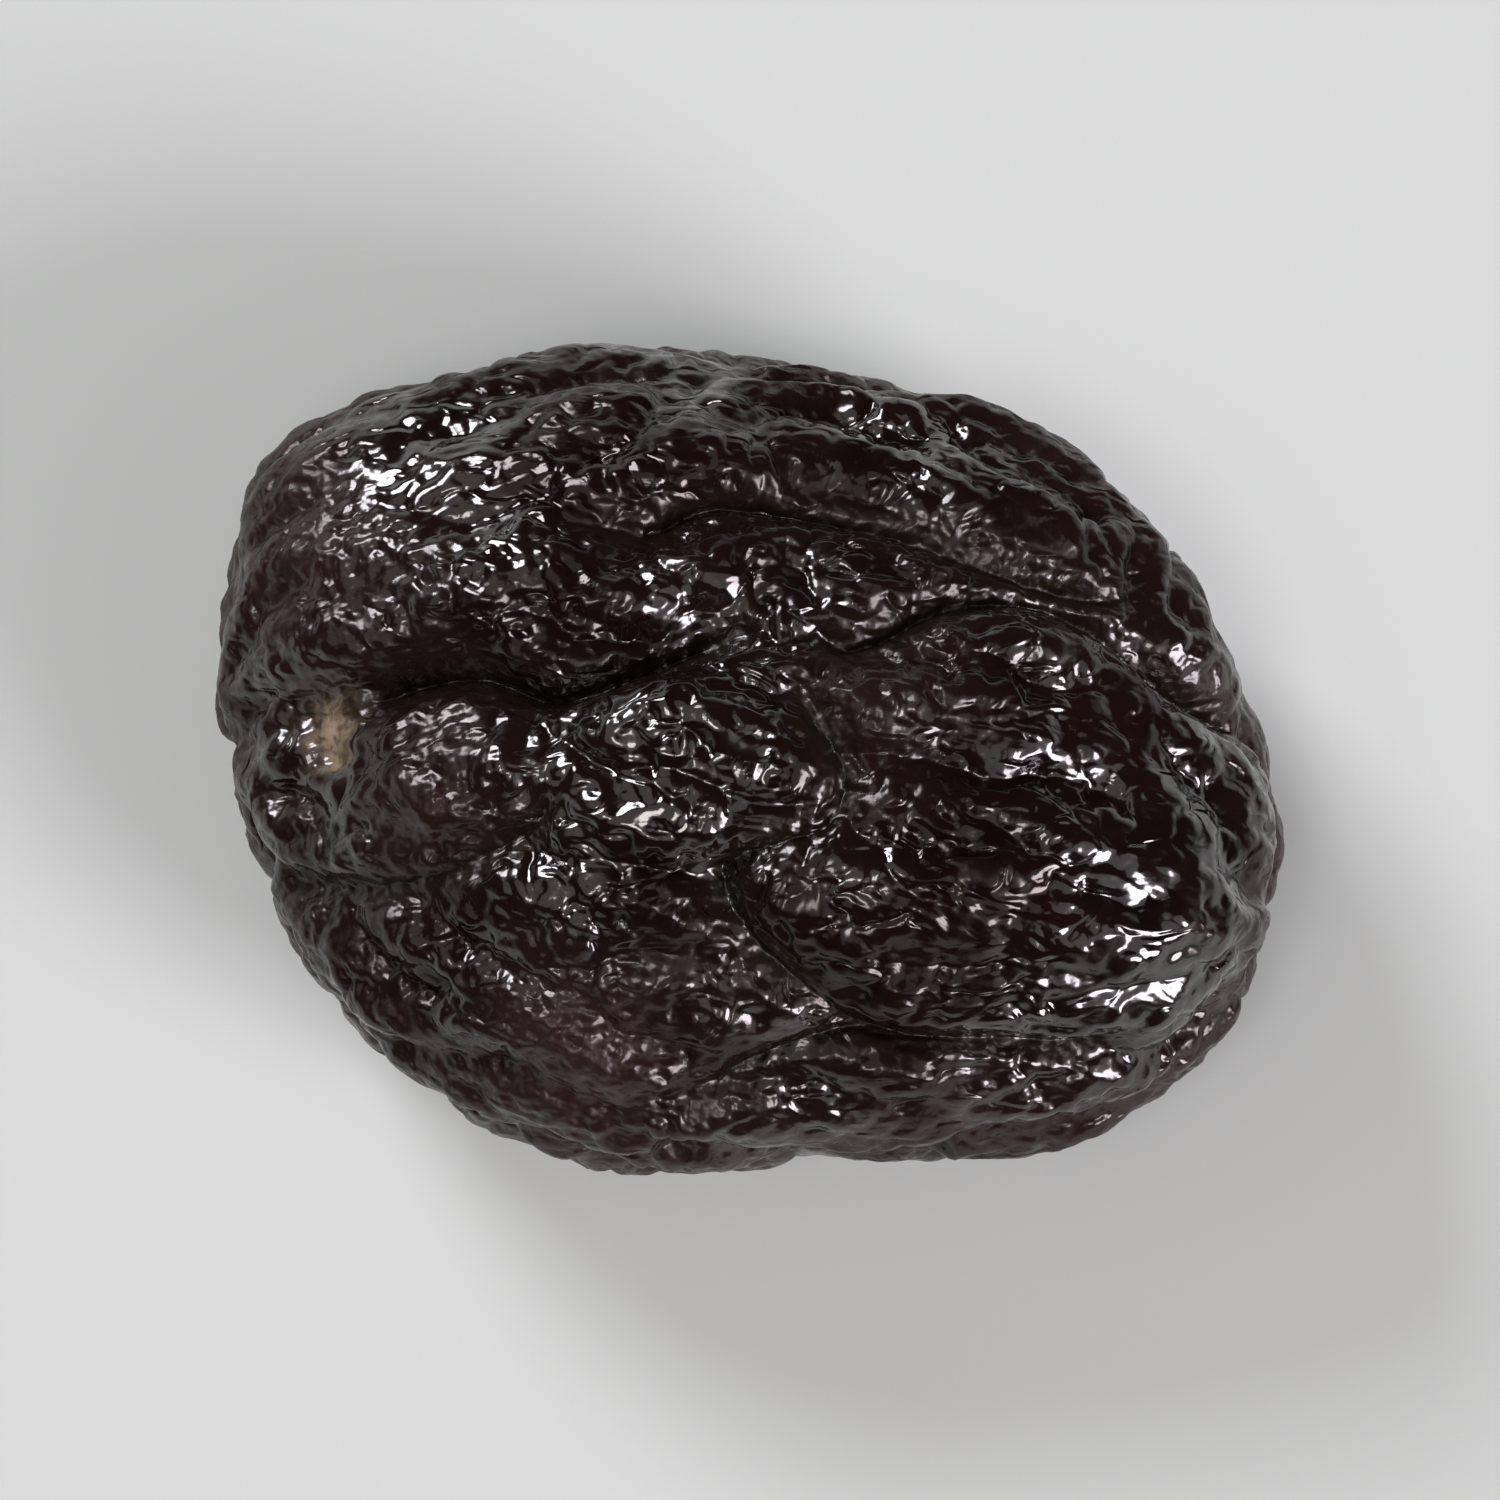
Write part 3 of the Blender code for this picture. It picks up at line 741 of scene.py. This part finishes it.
class PruneSettings(bpy.types.PropertyGroup):
    """Sizes and colours of the fruit."""

    segments: bpy.props.IntProperty(
        name="Segments", description="Divisions of the skin along a quarter of the way round", default=126,
        min=20, max=128)
    fine_share: bpy.props.FloatProperty(
        name="Fine folds", description="Depth of the finest folds, as a share of the usual", default=1.0,
        min=0.0, max=3.0, subtype="FACTOR")
    grain_height: bpy.props.FloatProperty(
        name="Grain height", description="Height of the uneven grain between the folds", default=0.02 * MM,
        min=0.0, subtype="DISTANCE", unit="LENGTH", precision=5)
    crinkle_spacing: bpy.props.FloatProperty(
        name="Crinkle spacing",
        description="Spacing of the pattern of short wrinkles, about twice that of their crests",
        default=1.3 * MM, min=0.0001, subtype="DISTANCE", unit="LENGTH", precision=5)
    crinkle_height: bpy.props.FloatProperty(
        name="Crinkle height", description="How far the short wrinkles stand out of the skin",
        default=0.07 * MM, min=0.0, subtype="DISTANCE", unit="LENGTH", precision=5)
    dark_colour: bpy.props.FloatVectorProperty(
        name="Skin", description="Darkest colour of the skin", size=4, subtype="COLOR",
        default=linear("#0B0405"), min=0.0, max=1.0)
    flesh_colour: bpy.props.FloatVectorProperty(
        name="Flesh", description="Brown that shows through where the skin is thin", size=4, subtype="COLOR",
        default=linear("#150808"), min=0.0, max=1.0)
    # Paler colour on the tops of the folds: partly wear, partly a painted highlight
    crest_wear_and_highlight_colour: bpy.props.FloatVectorProperty(
        name="Crests", description="Colour on the tops of the folds", size=4, subtype="COLOR",
        default=linear("#160909"), min=0.0, max=1.0)
    dry_colour: bpy.props.FloatVectorProperty(
        name="Dry skin", description="Colour where the skin is dry and dull", size=4, subtype="COLOR",
        default=linear("#241614"), min=0.0, max=1.0)
    # Darker olive deep in the creases: painted shade
    crease_shade_colour: bpy.props.FloatVectorProperty(
        name="Creases", description="Colour deep in the creases", size=4, subtype="COLOR",
        default=linear("#15100A"), min=0.0, max=1.0)
    scar_colour: bpy.props.FloatVectorProperty(
        name="Stem scar", description="Colour of the scar that the stalk left", size=4, subtype="COLOR",
        default=linear("#937E61"), min=0.0, max=1.0)


class StageSettings(bpy.types.PropertyGroup):
    """Sizes and colours of the stage."""

    floor_colour: bpy.props.FloatVectorProperty(
        name="Floor", description="Colour of the floor", size=4, subtype="COLOR", default=linear("#C5C7C2"),
        min=0.0, max=1.0)
    floor_size: bpy.props.FloatProperty(
        name="Floor size", description="Length of the floor's sides", default=8.0, min=0.5,
        subtype="DISTANCE", unit="LENGTH")
    elevation: bpy.props.FloatProperty(
        name="Elevation", description="How far above the horizon the camera stands", default=math.radians(80),
        subtype="ANGLE", unit="ROTATION")
    filled: bpy.props.FloatProperty(
        name="Filled", description="Share of the picture's width that the fruit fills", default=0.72, min=0.1,
        max=1.0, subtype="FACTOR")
    lens: bpy.props.FloatProperty(
        name="Lens", description="Focal length of the camera", default=200.0, min=20.0, unit="CAMERA")


class PRUNE_OT_make_fruit(bpy.types.Operator):
    """Makes the fruit with its wrinkled skin, in place of the plain solid"""

    bl_idname = "prune.make_fruit"
    bl_label = "Make fruit"

    def execute(self, context):
        settings = context.scene.prune_settings
        points, quads, marks = prune_form(settings)
        mesh = bpy.data.meshes.new("prune_fruit")
        mesh.from_pydata(points.tolist(), [], quads.tolist())
        mesh.shade_smooth()
        for name, values in marks.items():
            mesh.attributes.new(name, "FLOAT", "POINT").data.foreach_set("value", values.astype(np.float32))
        mesh.materials.append(prune_skin(settings))
        fruit = bpy.data.objects.new("prune_fruit", mesh)
        context.scene.collection.objects.link(fruit)
        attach(fruit, "root")
        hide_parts("prune")
        return {"FINISHED"}


class PRUNE_OT_make_stage(bpy.types.Operator):
    """Makes the pale floor, the soft light and the camera"""

    bl_idname = "prune.make_stage"
    bl_label = "Make stage"

    def execute(self, context):
        settings = context.scene.prune_stage
        self.make_floor(context, settings)
        self.make_light(context)
        self.make_camera(context, settings)
        return {"FINISHED"}

    def make_floor(self, context, settings):
        """A plain matt board, pale and even."""
        half = settings.floor_size / 2
        corners = [(-half, -half, 0), (half, -half, 0), (half, half, 0), (-half, half, 0)]
        mesh = bpy.data.meshes.new("floor")
        mesh.from_pydata(corners, [], [(0, 1, 2, 3)])
        material = bpy.data.materials.new("matt_board")
        material.use_nodes = True
        shader = material.node_tree.nodes["Principled BSDF"]
        shader.inputs["Base Color"].default_value = settings.floor_colour
        shader.inputs["Roughness"].default_value = 0.7
        shader.inputs["Specular IOR Level"].default_value = 0.2
        mesh.materials.append(material)
        floor = bpy.data.objects.new("floor", mesh)
        context.scene.collection.objects.link(floor)

    def make_light(self, context):
        """A grey horizon, which the dark sky takes over between 3 and 13 degrees up, and the lamps."""
        world = bpy.data.worlds.new("studio")
        world.use_nodes = True
        tree = world.node_tree
        background = tree.nodes["Background"]
        direction = add_node(tree, "ShaderNodeTexCoord").outputs["Generated"]
        height = add_node(tree, "ShaderNodeSeparateXYZ", {}, {0: direction}).outputs["Z"]
        rise = add_node(
            tree, "ShaderNodeMapRange", {"From Min": 0.06, "From Max": 0.22}, {"Value": height},
            interpolation_type="SMOOTHSTEP")
        sky = add_node(
            tree, "ShaderNodeMix", {"A": linear(HORIZON_COLOUR), "B": linear(SKY_COLOUR)},
            {"Factor": rise.outputs["Result"]}, data_type="RGBA")
        tree.links.new(sky.outputs["Result"], background.inputs["Color"])
        context.scene.world = world
        context.scene.view_settings.view_transform = "Standard"
        for lamp in LAMPS:
            self.hang_lamp(context, lamp)

    def hang_lamp(self, context, lamp):
        """Hangs a round lamp in its place and turns it to the middle of the fruit."""
        light = bpy.data.lights.new(lamp.name, "AREA")
        light.shape = "DISK"
        light.size = 2 * LAMP_DISTANCE * math.tan(math.radians(lamp.width / 2))
        light.energy = lamp.flux * math.pi * LAMP_DISTANCE ** 2
        light.color = linear(lamp.colour)[:3]
        tilt = math.radians(lamp.tilt)
        bearing = math.radians(lamp.bearing)
        level = LAMP_DISTANCE * math.sin(tilt)
        place = Vector((level * math.cos(bearing), level * math.sin(bearing), LAMP_DISTANCE * math.cos(tilt)))
        hung = bpy.data.objects.new(lamp.name, light)
        hung.location = place
        hung.rotation_euler = (Vector((0, 0, HEIGHT / 2)) - place).to_track_quat("-Z", "Y").to_euler()
        context.scene.collection.objects.link(hung)

    def make_camera(self, context, settings):
        """Looks down on the fruit, with its length across the picture."""
        view = bpy.data.cameras.new("camera")
        view.lens = settings.lens
        distance = LENGTH / settings.filled * view.lens / view.sensor_width
        back = Vector((0, -math.cos(settings.elevation), math.sin(settings.elevation)))
        camera = bpy.data.objects.new("camera", view)
        camera.location = Vector((0, 0, HEIGHT / 2)) + back * distance
        camera.rotation_euler = (-back).to_track_quat("-Z", "Y").to_euler()
        context.scene.collection.objects.link(camera)
        context.scene.camera = camera


class PRUNE_PT_panel(bpy.types.Panel):
    """Lists the fruit's and the stage's settings and makers"""

    bl_label = "Prune"
    bl_idname = "PRUNE_PT_panel"
    bl_space_type = "VIEW_3D"
    bl_region_type = "UI"
    bl_category = "Prune"

    def draw(self, context):
        for settings, maker in (
                (context.scene.prune_settings, "prune.make_fruit"),
                (context.scene.prune_stage, "prune.make_stage")):
            box = self.layout.box()
            for name in settings.__annotations__:
                box.prop(settings, name)
            box.operator(maker)


CLASSES = (PruneSettings, StageSettings, PRUNE_OT_make_fruit, PRUNE_OT_make_stage, PRUNE_PT_panel)


def register():
    """Adds the classes, and the settings of the scene."""
    for kind in CLASSES:
        bpy.utils.register_class(kind)
    bpy.types.Scene.prune_settings = bpy.props.PointerProperty(type=PruneSettings)
    bpy.types.Scene.prune_stage = bpy.props.PointerProperty(type=StageSettings)


def unregister():
    """Takes the settings and the classes away again."""
    del bpy.types.Scene.prune_stage
    del bpy.types.Scene.prune_settings
    for kind in reversed(CLASSES):
        bpy.utils.unregister_class(kind)


def main():
    """Makes the fruit and its stage."""
    register()
    bpy.ops.prune.make_stage()
    bpy.ops.prune.make_fruit()


if __name__ == "__main__":
    main()
